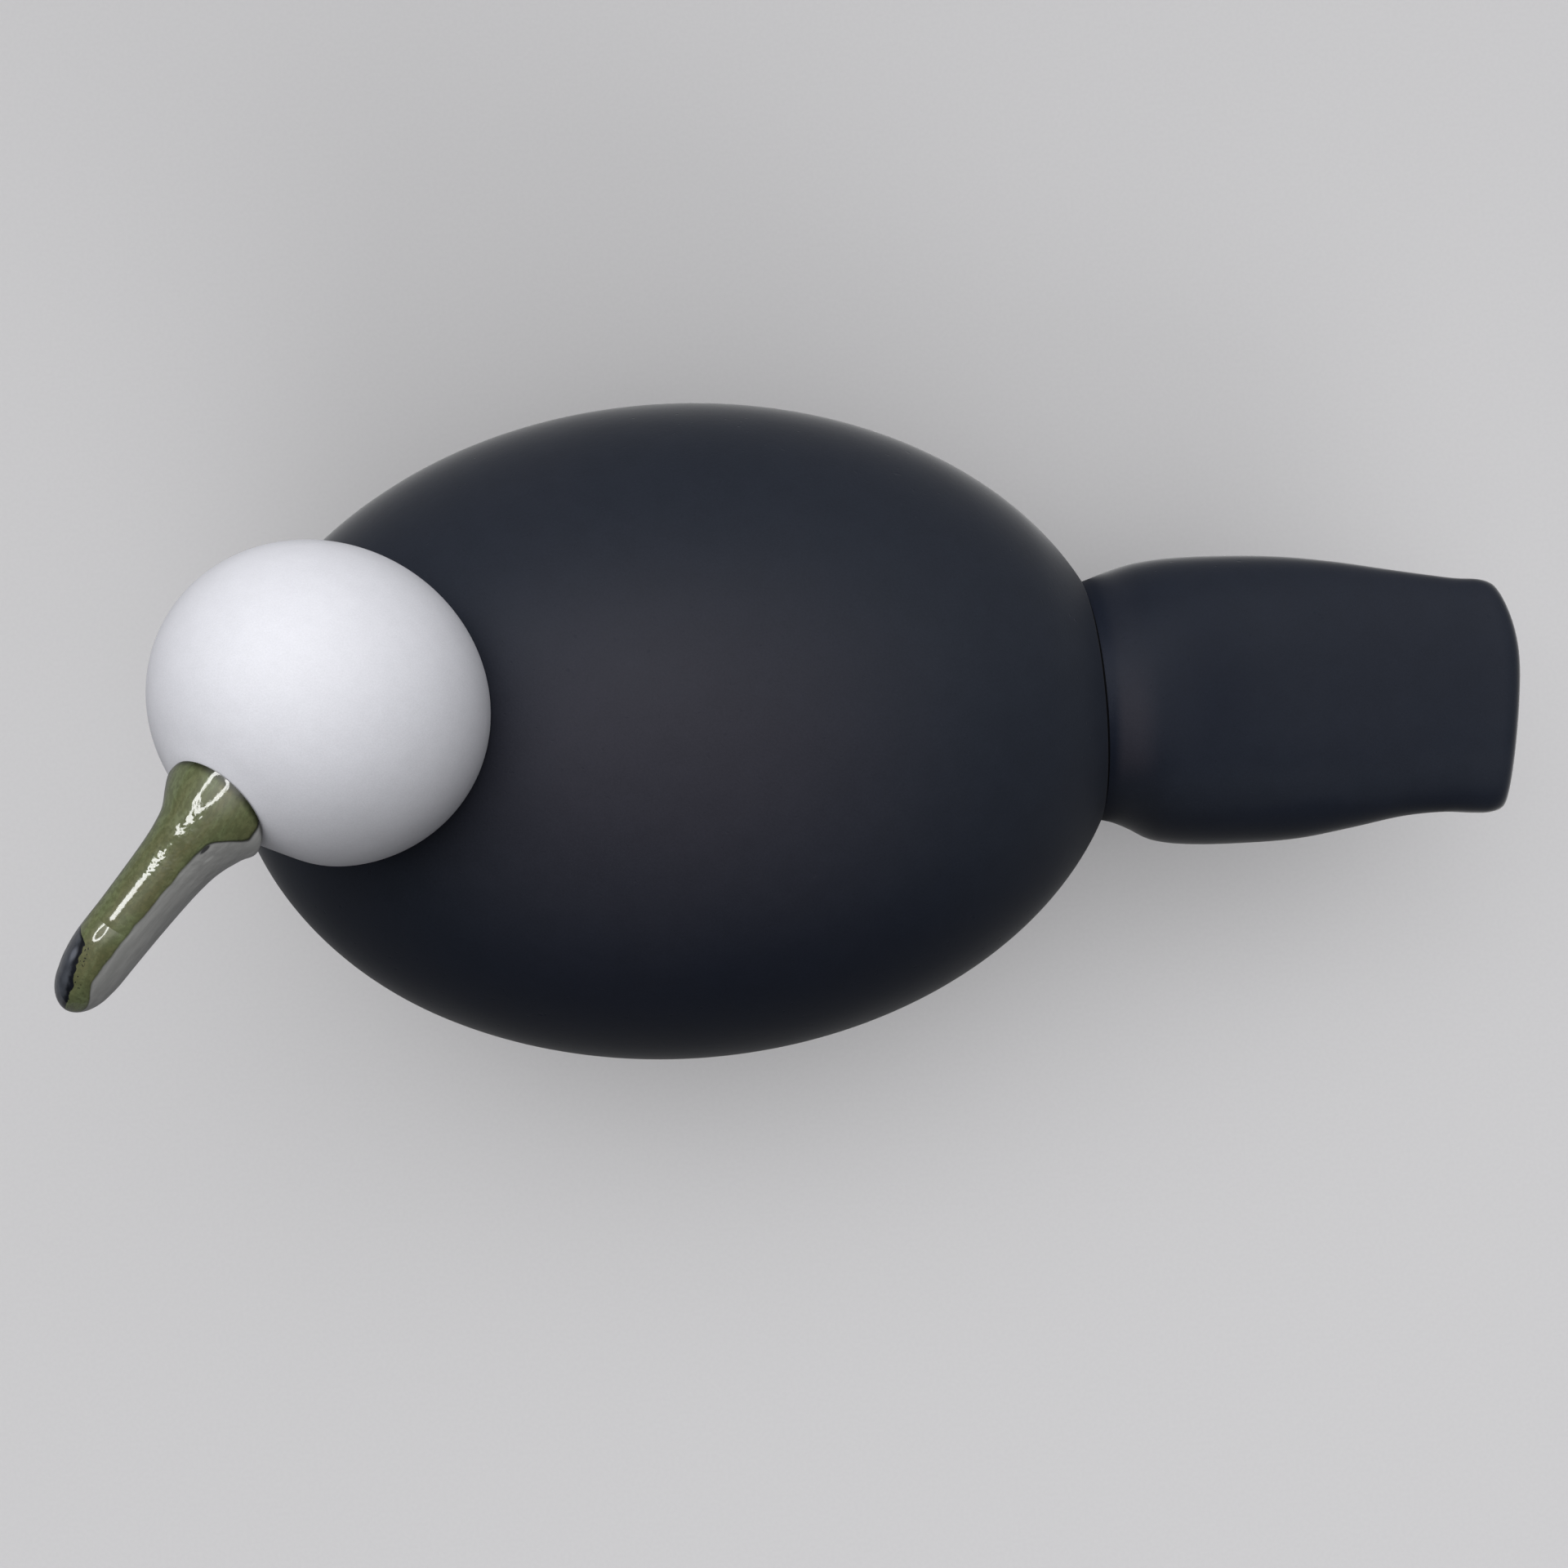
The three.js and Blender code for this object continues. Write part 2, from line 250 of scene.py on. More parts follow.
def body_piece(material):
    v = turns(BODY_AROUND)
    # Where each meridian meets the seam's plane
    p = -BODY_HALF_LENGTH * math.cos(SEAM_TURN)
    q = BODY_HALF_WIDTH * np.cos(v) * math.sin(SEAM_TURN)
    plane = SEAM_X * math.cos(SEAM_TURN) - JOINT_GAP / 2
    stop = np.arctan2(q, p) % (2 * PI) - np.arccos(plane / np.hypot(p, q))
    u = stop * (np.arange(1, BODY_RINGS + 1) / BODY_RINGS)[:, None]
    x = -BODY_HALF_LENGTH * np.cos(u)
    y = sway(x) + BODY_HALF_WIDTH * np.sin(u) * np.cos(v)
    z = BODY_MID_Z - BODY_HALF_HEIGHT * np.sin(u) * np.sin(v)
    rings = np.stack([x, y, ground_flat(z, GROUND_EDGE)], axis=-1)
    # The face at the seam, with its edge taken off
    rim = rings[-1]
    middle = rim.mean(axis=0)
    reach = np.linalg.norm(rim - middle, axis=1)[:, None]
    back_step = rings[-2] - rim
    rings[-1] = rim + back_step * min(1, SEAM_EDGE / np.linalg.norm(back_step, axis=1).min())
    face = [middle + (rim - middle) * (1 - SEAM_EDGE / reach) * share for share in BODY_FACE_SHARES]
    rings = np.concatenate([rings, np.array(face)])
    front = np.array([-BODY_HALF_LENGTH, BREAST_SWAY, BODY_MID_Z])
    return mesh_piece("body_glass", rings, front, middle, material)


# Head

HEAD_WIDE = toward(HEAD_TURN)
HEAD_LONG = np.array([-HEAD_WIDE[1], HEAD_WIDE[0], 0])
TO_BILL = (BILL_ROOT - HEAD_CENTRE) / np.linalg.norm(BILL_ROOT - HEAD_CENTRE)
TO_CHEEK = toward(CHEEK_HEADING, CHEEK_RISE)


def angle_to(d, axis):
    return np.arccos(np.clip(d @ axis, -1, 1))


def ball_radius(d):
    """Distance from the head's centre to its surface in the directions d."""
    radius = 1 / np.sqrt(
        (d[..., 2] / HEAD_HALF_HIGH) ** 2
        + (d @ HEAD_WIDE / HEAD_HALF_WIDE) ** 2
        + (d @ HEAD_LONG / HEAD_HALF_LONG) ** 2
    )
    lip = LIP_HEIGHT * np.exp(-(np.clip(angle_to(d, TO_BILL) - LIP_FROM, 0, None) / LIP_REACH) ** 2)
    dip = CHEEK_DIP * np.exp(-(angle_to(d, TO_CHEEK) / CHEEK_REACH) ** 2)
    return radius + lip - dip


def head_direction(u, v):
    """Direction at an angle u from straight up and v round the upright."""
    return (
        np.cos(u)[..., None] * UP
        + (np.sin(u) * np.cos(v))[..., None] * HEAD_WIDE
        + (np.sin(u) * np.sin(v))[..., None] * HEAD_LONG
    )


def clear_of_body(d, radius):
    return ~in_egg(HEAD_CENTRE + radius[..., None] * d, JOINT_GAP)


def head_piece(material):
    v = turns(HEAD_AROUND)

    def above_brim(u):
        d = head_direction(u, v)
        return clear_of_body(d, ball_radius(d))

    brim = root_between(np.full(HEAD_AROUND, PI / 2), np.full(HEAD_AROUND, PI), above_brim)
    u = np.concatenate([
        brim * (np.arange(1, HEAD_RINGS + 1) / HEAD_RINGS)[:, None],
        brim + (PI - brim) * (np.arange(1, HEAD_DISH_RINGS) / HEAD_DISH_RINGS)[:, None],
    ])
    # Below the brim the ball is dished to fit over the body
    d = head_direction(u, v)
    ball = ball_radius(d)
    dish = root_between(np.zeros_like(ball), ball, lambda radius: clear_of_body(d, radius))
    rings = HEAD_CENTRE + np.where(u > brim, dish, ball)[..., None] * d
    top = HEAD_CENTRE + ball_radius(UP) * UP
    under = root_between(np.array(0.0), ball_radius(-UP), lambda radius: clear_of_body(-UP, radius))
    return mesh_piece("head_glass", rings, top, HEAD_CENTRE - under * UP, material)


# Bill

BILL_AHEAD = toward(BILL_HEADING)
BILL_SIDE = np.array([-BILL_AHEAD[1], BILL_AHEAD[0], 0])
BILL_PULL = "pull"
BILL_PAST_ROOT = "past_root"
bill_at = stations(BILL_STATIONS)


def tip_share(t):
    """How far into the tip a place along the bill is, from 0 to 1."""
    return np.clip((t - BILL_TIP_FROM) / (BILL_LENGTH - BILL_TIP_FROM), 0, 1)


def bill_radius(t):
    """Radius of the plain shaft and its blunt tip."""
    return bill_at(t)[2] * (1 - tip_share(t) ** BILL_TIP_FULLNESS) ** BILL_TIP_BLUNTNESS


def bill_point(t, v, inset=0.0):
    """Point at a place along the bill and an angle round it from its left, sunk by inset."""
    shift, height, _, lean = bill_at(t)
    # A fold on the left of the root
    from_fold = np.arccos(np.cos(v - BILL_FOLD_SIDE)) / BILL_FOLD_ROUND
    fold = BILL_FOLD * np.exp(-(from_fold**2) - ((t - BILL_FOLD_AT) / BILL_FOLD_REACH) ** 2)
    # A faint ridge along the crown
    from_ridge = np.arccos(np.cos(v - BILL_RIDGE_TURN)) / BILL_RIDGE_ROUND
    ridge = BILL_RIDGE * np.exp(-(from_ridge**2))
    ridge = ridge * np.clip((t - BILL_RIDGE_FROM) / BILL_RIDGE_FADE, 0, 1)
    ridge = ridge * np.clip((BILL_TIP_FROM - t) / BILL_RIDGE_FADE, 0, 1)
    radius = bill_radius(t) - inset + fold + ridge
    height = height - BILL_TIP_DROP * tip_share(t) ** 2
    centre = BILL_ROOT + t[..., None] * BILL_AHEAD + shift[..., None] * BILL_SIDE
    centre = centre + height[..., None] * UP
    turned = BILL_HEADING + BILL_ROOT_TURN * lean
    facing = np.stack([np.cos(turned), np.sin(turned), np.zeros_like(turned)], axis=-1)
    across = np.stack([-facing[..., 1], facing[..., 0], np.zeros_like(turned)], axis=-1)
    tilt = (BILL_ROOT_LEAN * lean)[..., None]
    crown = np.cos(tilt) * UP - np.sin(tilt) * facing
    return centre + radius[..., None] * (np.cos(v)[..., None] * across + np.sin(v)[..., None] * crown)


def bill_pull(t, v):
    """Where a point of the bill would be if it were straight: along it, to its left and up."""
    radius = bill_radius(t)
    return np.stack([t, radius * np.cos(v), radius * np.sin(v)], axis=-1)


def bill_piece(material):
    v = -turns(BILL_AROUND)

    def in_ball(t):
        offset = bill_point(t, v, BILL_EDGE_DEPTH) - HEAD_CENTRE
        distance = np.linalg.norm(offset, axis=-1)
        return distance < ball_radius(offset / distance[..., None]) + JOINT_GAP

    back = np.full(BILL_AROUND, BILL_BACK)
    start = root_between(back, back + BILL_ROOT_SPAN, in_ball)
    shaft = start + (BILL_TIP_FROM - start) * (np.arange(BILL_RINGS) / BILL_RINGS)[:, None]
    curl = np.sin(PI / 2 * np.arange(BILL_TIP_RINGS) / BILL_TIP_RINGS)[:, None]
    tip = BILL_TIP_FROM + (BILL_LENGTH - BILL_TIP_FROM) * curl
    t = np.concatenate([shaft, np.broadcast_to(tip, (BILL_TIP_RINGS, BILL_AROUND))])
    v = np.broadcast_to(v, t.shape)
    # The edge next to the head is melted round
    inset = BILL_EDGE_DEPTH * np.clip(1 - (t - start) / BILL_EDGE_REACH, 0, 1) ** 2
    rings = bill_point(t, v, inset)
    pull = bill_pull(t, v)
    # The face that meets the head, dished to fit it
    edge = rings[0] - HEAD_CENTRE
    edge = edge / np.linalg.norm(edge, axis=1)[:, None]
    centre = edge.mean(axis=0) / np.linalg.norm(edge.mean(axis=0))
    face = []
    for share in BILL_FACE_SHARES:
        d = centre + (edge - centre) * share
        d = d / np.linalg.norm(d, axis=1)[:, None]
        face.append(HEAD_CENTRE + (ball_radius(d) + JOINT_GAP)[:, None] * d)
    pull = np.concatenate([np.repeat(pull[:1], len(face), axis=0), pull])
    past_root = np.concatenate([np.zeros((len(face), BILL_AROUND)), t - start])
    rings = np.concatenate([np.array(face), rings])
    first = HEAD_CENTRE + (ball_radius(centre) + JOINT_GAP) * centre
    last = bill_point(np.array([BILL_LENGTH]), np.array([0.0]))[0]
    piece = mesh_piece("bill_glass", rings, first, last, material)
    # For the colours, each point keeps its place on the straight bill and how far past the root it is
    pull = np.vstack([pull[0].mean(axis=0)[None], pull.reshape(-1, 3), pull[-1].mean(axis=0)[None]])
    past_root = np.concatenate([[0.0], past_root.ravel(), past_root[-1, :1]])
    attributes = piece.data.attributes
    attributes.new(BILL_PULL, "FLOAT_VECTOR", "POINT").data.foreach_set("vector", pull.ravel())
    attributes.new(BILL_PAST_ROOT, "FLOAT", "POINT").data.foreach_set("value", past_root)
    return piece


# Tail

tail_at = stations(TAIL_STATIONS)


def squared_off(value, square):
    """A cosine or sine, pushed outwards so that a round section becomes squarer."""
    return np.sign(value) * np.abs(value) ** (2 / square)


def tail_rings(x, s, v):
    """Rings at each x, with s from 0 to 1 over the rim at the end and v the angle round from the right."""
    right, left, under, top, square = tail_at(x)
    wide = (right - left) / 2 - TAIL_RIM_WIDE * (1 - np.sqrt(1 - s * s))
    high = (top - under) / 2 * (1 - s**TAIL_RIM_SQUARE) ** (1 / TAIL_RIM_SQUARE)
    y = (right + left) / 2 + wide * squared_off(np.cos(v), square)
    z = (top + under) / 2 + high * squared_off(np.sin(v), square)
    # The end slants away on the bird's left and is rounded on its right
    behind = TAIL_PEAK_Y - y
    edge = np.where(
        behind > 0,
        TAIL_SLANT * behind**2 / (np.abs(behind) + TAIL_SLANT_START),
        TAIL_CORNER * behind**2,
    )
    along = (x - SEAM_X) / (TAIL_END_X - SEAM_X)
    return np.stack([x - y * math.tan(SEAM_TURN) * (1 - along) ** 4 - edge * along**3, y, z], axis=-1)


def tail_piece(material):
    v = -turns(TAIL_AROUND)
    start = SEAM_X + JOINT_GAP / 2
    rim_start = TAIL_END_X - TAIL_RIM
    shaft = start + (rim_start - start) * (np.arange(TAIL_RINGS) / TAIL_RINGS) ** TAIL_RINGS_CROWDING
    s = np.sin(PI / 2 * np.arange(TAIL_RIM_RINGS + 1) / TAIL_RIM_RINGS)
    x = np.concatenate([shaft, rim_start + TAIL_RIM * s])[:, None]
    s = np.concatenate([np.zeros(TAIL_RINGS), s])[:, None]
    rings = tail_rings(x, s, v)
    face = rings[0].mean(axis=0)
    inner = [face + (rings[0] - face) * share for share in TAIL_FACE_SHARES]
    rings = np.concatenate([np.array(inner), rings])
    return mesh_piece("tail_glass", rings, face, rings[-1].mean(axis=0), material)


# Materials

class Nodes:
    """Short calls for the nodes of a material or of the world."""

    def __init__(self, tree):
        self.tree = tree

    def node(self, kind, **settings):
        node = self.tree.nodes.new(kind)
        for key, value in settings.items():
            setattr(node, key, value)
        return node

    def give(self, socket, value):
        if isinstance(value, bpy.types.NodeSocket):
            self.tree.links.new(value, socket)
        else:
            socket.default_value = value

    def math(self, operation, *values, clamp=False):
        node = self.node("ShaderNodeMath", operation=operation, use_clamp=clamp)
        for socket, value in zip(node.inputs, values):
            self.give(socket, value)
        return node.outputs[0]

    def total(self, *values):
        result = values[0]
        for value in values[1:]:
            result = self.math("ADD", result, value)
        return result

    def product(self, *values):
        result = values[0]
        for value in values[1:]:
            result = self.math("MULTIPLY", result, value)
        return result

    def distance(self, value, middle):
        """How far value is from middle, on either side."""
        return self.math("ABSOLUTE", self.math("SUBTRACT", value, middle))

    def length(self, first, second):
        """Length of the long side over two short sides at right angles."""
        return self.math("SQRT", self.math("MULTIPLY_ADD", first, first, self.product(second, second)))

    def rays(self):
        """Sockets that say which kind of ray meets the surface."""
        return self.node("ShaderNodeLightPath").outputs


# How noise mostly varies between 0 and 1: over wide patches, and in fine grain
NOISE_SPAN = (0.3, 0.7)
GRAIN_SPAN = (0.25, 0.75)
GLASS_IOR = 1.5


class Finish(Nodes):
    """A Principled material and short calls for the nodes that drive it. Lengths are in millimetres."""

    def __init__(self, name):
        self.material = bpy.data.materials.new(name)
        self.material.use_nodes = True
        super().__init__(self.material.node_tree)

    def made_of(self, **inputs):
        """The material, once each named input of its shader has its value."""
        shader = self.tree.nodes["Principled BSDF"]
        for key, value in inputs.items():
            self.give(shader.inputs[key.replace("_", " ")], value)
        return self.material

    def attribute(self, name, output):
        return self.node("ShaderNodeAttribute", attribute_name=name).outputs[output]

    def scaled(self, vector, factors):
        node = self.node("ShaderNodeVectorMath", operation="MULTIPLY")
        self.give(node.inputs[0], vector)
        node.inputs[1].default_value = factors
        return node.outputs[0]

    def place(self):
        """Position on the object."""
        return self.scaled(self.node("ShaderNodeTexCoord").outputs["Object"], (1 / MM, 1 / MM, 1 / MM))

    def split(self, vector):
        node = self.node("ShaderNodeSeparateXYZ")
        self.give(node.inputs[0], vector)
        return node.outputs

    def noise(self, vector, size, detail, roughness=0.5, distortion=0.0, drawn=1.0):
        """Noise with features about size across, drawn out along X where drawn is below 1."""
        if drawn != 1.0:
            vector = self.scaled(vector, (drawn, 1.0, 1.0))
        node = self.node("ShaderNodeTexNoise")
        self.give(node.inputs["Vector"], vector)
        node.inputs["Scale"].default_value = 1 / size
        node.inputs["Detail"].default_value = detail
        node.inputs["Roughness"].default_value = roughness
        node.inputs["Distortion"].default_value = distortion
        return node.outputs["Fac"]

    def change(self, value, low, high, to_low, to_high, **settings):
        """Change from to_low to to_high while value goes from low to high."""
        node = self.node("ShaderNodeMapRange", **settings)
        self.give(node.inputs["Value"], value)
        ends = {"From Min": low, "From Max": high, "To Min": to_low, "To Max": to_high}
        for key, number in ends.items():
            node.inputs[key].default_value = number
        return node.outputs["Result"]

    def ramp(self, value, low, high, to_low=0.0, to_high=1.0):
        """Smooth change, level at both ends."""
        return self.change(value, low, high, to_low, to_high, interpolation_type="SMOOTHSTEP")

    def past(self, value, start, reach):
        """How far value is past start, up to reach."""
        return self.change(value, start, start + reach, 0.0, reach)

    def blend(self, share, first, second):
        """The first colour where share is 0 and the second where it is 1."""
        node = self.node("ShaderNodeMix", data_type="RGBA")
        self.give(node.inputs["Factor"], share)
        for socket, colour in ((node.inputs["A"], first), (node.inputs["B"], second)):
            self.give(socket, colour if isinstance(colour, bpy.types.NodeSocket) else (*colour, 1))
        return node.outputs["Result"]

    def tone(self, colour, factor):
        """Colour made lighter or darker by a factor."""
        node = self.node("ShaderNodeVectorMath", operation="SCALE")
        self.give(node.inputs[0], colour)
        self.give(node.inputs["Scale"], factor)
        return node.outputs[0]

    def mottled(self, colour, *layers):
        """Colour made lighter and darker by layers, each given as its noise, its span and its share."""
        light = [self.ramp(noise, *span, -share, share) for noise, span, share in layers]
        return self.tone(colour, self.total(*light, 1.0))

    def relief(self, *layers):
        """Surface relief in layers, each given as its height from 0 to 1 and its depth."""
        normal = None
        for height, depth in layers:
            node = self.node("ShaderNodeBump")
            self.give(node.inputs["Height"], height)
            node.inputs["Distance"].default_value = depth * MM
            if normal is not None:
                self.give(node.inputs["Normal"], normal)
            normal = node.outputs["Normal"]
        return normal


# A named change in a glass is (start, end), and its values at the start and the end follow unless they are
# 0 and 1. Places are in millimetres on the bird.

# Black glass: cool in colour, warm in its clouds and in painted highlights, deep in painted shade, clouded
# and finely pitted
BLACK_WARMTH_AND_HIGHLIGHT = (0.0262, 0.0262, 0.0362)
BLACK_COOL = (0.0172, 0.0208, 0.0305)
BLACK_PAINTED_SHADE = (0.0085, 0.0115, 0.021)
CLOUDED_WARMTH = 0.5
PITTED = (0.72, 0.8)
BLACK_ROUGHNESS = (0.47, 0.54)
MOTTLE_ROUGHER = 0.05
PITS_ROUGHER = 0.1


def etched_black(finish, highlight_and_warmth, painted_shade, sheen):
    """Acid-etched black glass: warm in its clouds and where the painted highlight's share is high, deep
    blue-black where the painted shade's share is.
    """
    place = finish.place()
    clouds = finish.noise(place, size=38.0, detail=3.0)
    mottle = finish.noise(place, size=5.0, detail=4.0, roughness=0.6)
    grain = finish.noise(place, size=0.32, detail=2.0, roughness=0.7)
    # Painted shade turns the cool black deep blue-black.
    cool = finish.blend(painted_shade, BLACK_COOL, BLACK_PAINTED_SHADE)
    highlight_and_warmth = finish.math("SUBTRACT", highlight_and_warmth, CLOUDED_WARMTH / 2)
    highlight_and_warmth = finish.math("MULTIPLY_ADD", clouds, CLOUDED_WARMTH, highlight_and_warmth, clamp=True)
    # Clouds and painted highlights turn it warm.
    colour = finish.blend(highlight_and_warmth, cool, BLACK_WARMTH_AND_HIGHLIGHT)
    # Small pits left by the acid
    pits = finish.ramp(finish.noise(place, size=1.1, detail=1.0), *PITTED)
    return finish.made_of(
        Base_Color=finish.mottled(colour, (mottle, NOISE_SPAN, 0.035), (grain, GRAIN_SPAN, 0.07)),
        Roughness=finish.total(
            finish.ramp(clouds, *NOISE_SPAN, *BLACK_ROUGHNESS),
            finish.product(mottle, MOTTLE_ROUGHER),
            finish.product(pits, PITS_ROUGHER),
        ),
        Normal=finish.relief(
            (finish.noise(place, size=22.0, detail=1.0), 0.25),
            (mottle, 0.03),
            (grain, 0.012),
            (pits, -0.02),
        ),
        Sheen_Weight=sheen,
        Sheen_Roughness=0.3,
        Specular_IOR_Level=0.1,
        IOR=GLASS_IOR,
    )


# Body: a painted highlight on the crown makes it look a little warmer,
CROWN_HIGHLIGHT_Y = -7.0
CROWN_HIGHLIGHT_NARROWING = 1.25
CROWN_HIGHLIGHT_REACH = (52.0, 6.0)
CROWN_HIGHLIGHT_HEIGHT = (46.0, 80.0)
# and painted shade makes it deepest in colour down its left side, less so down its right side.
LEFT_SIDE_SHADE = (-18.0, -46.0)
RIGHT_SIDE_SHADE = (6.0, 26.0, 0.0, 0.12)
# Its sheen is stronger on its right side, a painted highlight along that rim, and weaker next to the seam,
# painted shade in the crease.
BODY_RIM_HIGHLIGHT = (-30.0, 15.0, 0.12, 0.8)
BODY_SEAM_SHADE = (73.0, 64.0, 0.1, 1.0)


def black_satin_glass():
    finish = Finish("black_satin_glass")
    x, y, z = finish.split(finish.place())
    # The crown's warmer patch is a painted highlight.
    sideways = finish.math("MULTIPLY_ADD", y, CROWN_HIGHLIGHT_NARROWING, -CROWN_HIGHLIGHT_NARROWING * CROWN_HIGHLIGHT_Y)
    crown = finish.ramp(finish.length(x, sideways), *CROWN_HIGHLIGHT_REACH)
    highlight_and_warmth = finish.product(crown, finish.ramp(z, *CROWN_HIGHLIGHT_HEIGHT))
    # Painted shade down both sides.
    painted_shade = finish.total(finish.ramp(y, *LEFT_SIDE_SHADE), finish.ramp(y, *RIGHT_SIDE_SHADE))
    # Sheen as a painted rim highlight on the right, held back as painted shade by the seam.
    sheen = finish.product(finish.ramp(y, *BODY_RIM_HIGHLIGHT), finish.ramp(x, *BODY_SEAM_SHADE))
    return etched_black(finish, highlight_and_warmth, painted_shade, sheen)


# Tail: warmer in a painted highlight next to the seam,
SEAM_HIGHLIGHT_END = (83.5, 78.5)
SEAM_HIGHLIGHT_LEFT = (-15.5, -9.5)
SEAM_HIGHLIGHT_START = (74.8, 76.8)
SEAM_HIGHLIGHT_WARMTH = (9.0, -5.0, 0.15, 0.95)
TAIL_WARM = 0.02
# and deepest in colour in painted shade where its left side turns down, on its flat middle and in the
# crease at the seam.
SHADE_EDGE_WANDER = 5.0
TURNED_DOWN_SHADE = (-15.5, -19.0, 0.0, 0.5)
TURNED_UNDER_SHADE = (-27.0, -23.0, 0.3, 1.0)
FLAT_SHADE_Y = 3.0
FLAT_SHADE_ACROSS = (20.0, 4.0)
FLAT_SHADE_ALONG = (106.0, 90.0, 0.0, 0.4)
CREASE_SHADE = (76.8, 74.8, 0.0, 0.3)
TAIL_SHADE = (-13.0, -8.0, 0.1, 0.4)
# Its sheen is stronger on its right side and its end, a painted highlight on those rims, and weaker next to
# the seam, painted shade in the crease.
TAIL_RIM_HIGHLIGHT = (-30.0, 15.0, 0.3, 1.0)
TAIL_END_HIGHLIGHT = (130.0, 145.0, 0.0, 1.3)
TAIL_SEAM_SHADE = (75.0, 79.0, 0.05, 1.0)


def black_satin_tail_glass():
    finish = Finish("black_satin_tail_glass")
    place = finish.place()
    x, y, _ = finish.split(place)
    # The warmer patch next to the seam is a painted highlight.
    seam_highlight = finish.product(
        finish.ramp(x, *SEAM_HIGHLIGHT_END),
        finish.ramp(y, *SEAM_HIGHLIGHT_LEFT),
        finish.ramp(x, *SEAM_HIGHLIGHT_START),
    )
    highlight_and_warmth = finish.math("MULTIPLY_ADD", seam_highlight, finish.ramp(y, *SEAM_HIGHLIGHT_WARMTH), TAIL_WARM)
    edge = finish.math("MULTIPLY_ADD", finish.noise(place, size=18.0, detail=2.0), SHADE_EDGE_WANDER, y)
    # Painted shade where the left side turns down, on the flat middle and in the crease.
    painted_shade = finish.total(
        finish.product(finish.ramp(edge, *TURNED_DOWN_SHADE), finish.ramp(edge, *TURNED_UNDER_SHADE)),
        finish.product(finish.ramp(finish.distance(y, FLAT_SHADE_Y), *FLAT_SHADE_ACROSS), finish.ramp(x, *FLAT_SHADE_ALONG)),
        finish.ramp(x, *CREASE_SHADE),
        finish.ramp(edge, *TAIL_SHADE),
    )
    # Sheen as a painted rim highlight on the right and at the end, held back as painted shade by the seam.
    sheen = finish.math("MAXIMUM", finish.ramp(y, *TAIL_RIM_HIGHLIGHT), finish.ramp(x, *TAIL_END_HIGHLIGHT))
    sheen = finish.product(sheen, finish.ramp(x, *TAIL_SEAM_SHADE))
    return etched_black(finish, highlight_and_warmth, painted_shade, sheen)


# Head: painted shade makes it a little greyer down where it is joined to the body
WHITE = (0.80, 0.805, 0.86)
WHITE_SHADED = (0.70, 0.71, 0.77)
WHITE_SHADE_HEIGHT = (96.0, 78.0)
WHITE_ROUGHNESS = (0.42, 0.5)
WHITE_MOTTLE_ROUGHER = 0.06


def white_satin_glass():
    finish = Finish("white_satin_glass")
    place = finish.place()
    clouds = finish.noise(place, size=16.0, detail=3.0)
    mottle = finish.noise(place, size=2.4, detail=4.0, roughness=0.6)
    grain = finish.noise(place, size=0.22, detail=2.0, roughness=0.7)
    z = finish.split(place)["Z"]
    # Painted shade on the lower part of the head.
    colour = finish.blend(finish.ramp(z, *WHITE_SHADE_HEIGHT), WHITE, WHITE_SHADED)
    return finish.made_of(
        Base_Color=finish.mottled(
            colour,
            (clouds, NOISE_SPAN, 0.012),
            (mottle, NOISE_SPAN, 0.012),
            (grain, GRAIN_SPAN, 0.04),
        ),
        Roughness=finish.total(
            finish.ramp(clouds, *NOISE_SPAN, *WHITE_ROUGHNESS),
            finish.product(mottle, WHITE_MOTTLE_ROUGHER),
        ),
        Normal=finish.relief((clouds, 0.12), (mottle, 0.012), (grain, 0.008)),
        Specular_IOR_Level=0.35,
        IOR=GLASS_IOR,
    )


# Bill: places on it are given along it from its root and as a turn from its crown to its left, in radians.
# Mottled olive, lighter down its right side, and darker in painted shade far down on that
# side and at the edge of the root.
OLIVE_DARK = (0.088, 0.098, 0.046)
OLIVE = (0.140, 0.166, 0.080)
OLIVE_LIGHT = (0.180, 0.214, 0.112)
OLIVE_BROWN = (0.134, 0.132, 0.062)
OLIVE_CLOUDS = (0.36, 0.64)
OLIVE_STREAKS = (0.48, 0.72, 0.0, 0.5)
OLIVE_RIGHT = (0.1, -0.9, 0.0, 0.45)
OLIVE_MOTTLE = (0.6, 0.42, 0.0, 0.55)
OLIVE_FLECKS = (0.22, 0.40, 0.72, 1.0)
OLIVE_UNDER_SHADE = (-1.5, -1.1, 0.5, 1.0)
ROOT_EDGE_SHADE = (0.1, 1.1, 0.22, 1.0)


def bill_olive(finish, pull, turn, streaks, mottle):
    clouds = finish.noise(pull, size=3.4, detail=3.0, distortion=0.3, drawn=0.35)
    flecks = finish.noise(pull, size=0.33, detail=2.0, drawn=0.6)
    colour = finish.blend(finish.ramp(clouds, *OLIVE_CLOUDS), OLIVE_BROWN, OLIVE)
    colour = finish.blend(finish.ramp(streaks, *OLIVE_STREAKS), colour, OLIVE_LIGHT)
    colour = finish.blend(finish.ramp(turn, *OLIVE_RIGHT), colour, OLIVE_LIGHT)
    colour = finish.blend(finish.ramp(mottle, *OLIVE_MOTTLE), colour, OLIVE_DARK)
    colour = finish.tone(colour, finish.ramp(flecks, *OLIVE_FLECKS))
    # Painted shade far down on the right side.
    return finish.tone(colour, finish.ramp(turn, *OLIVE_UNDER_SHADE))


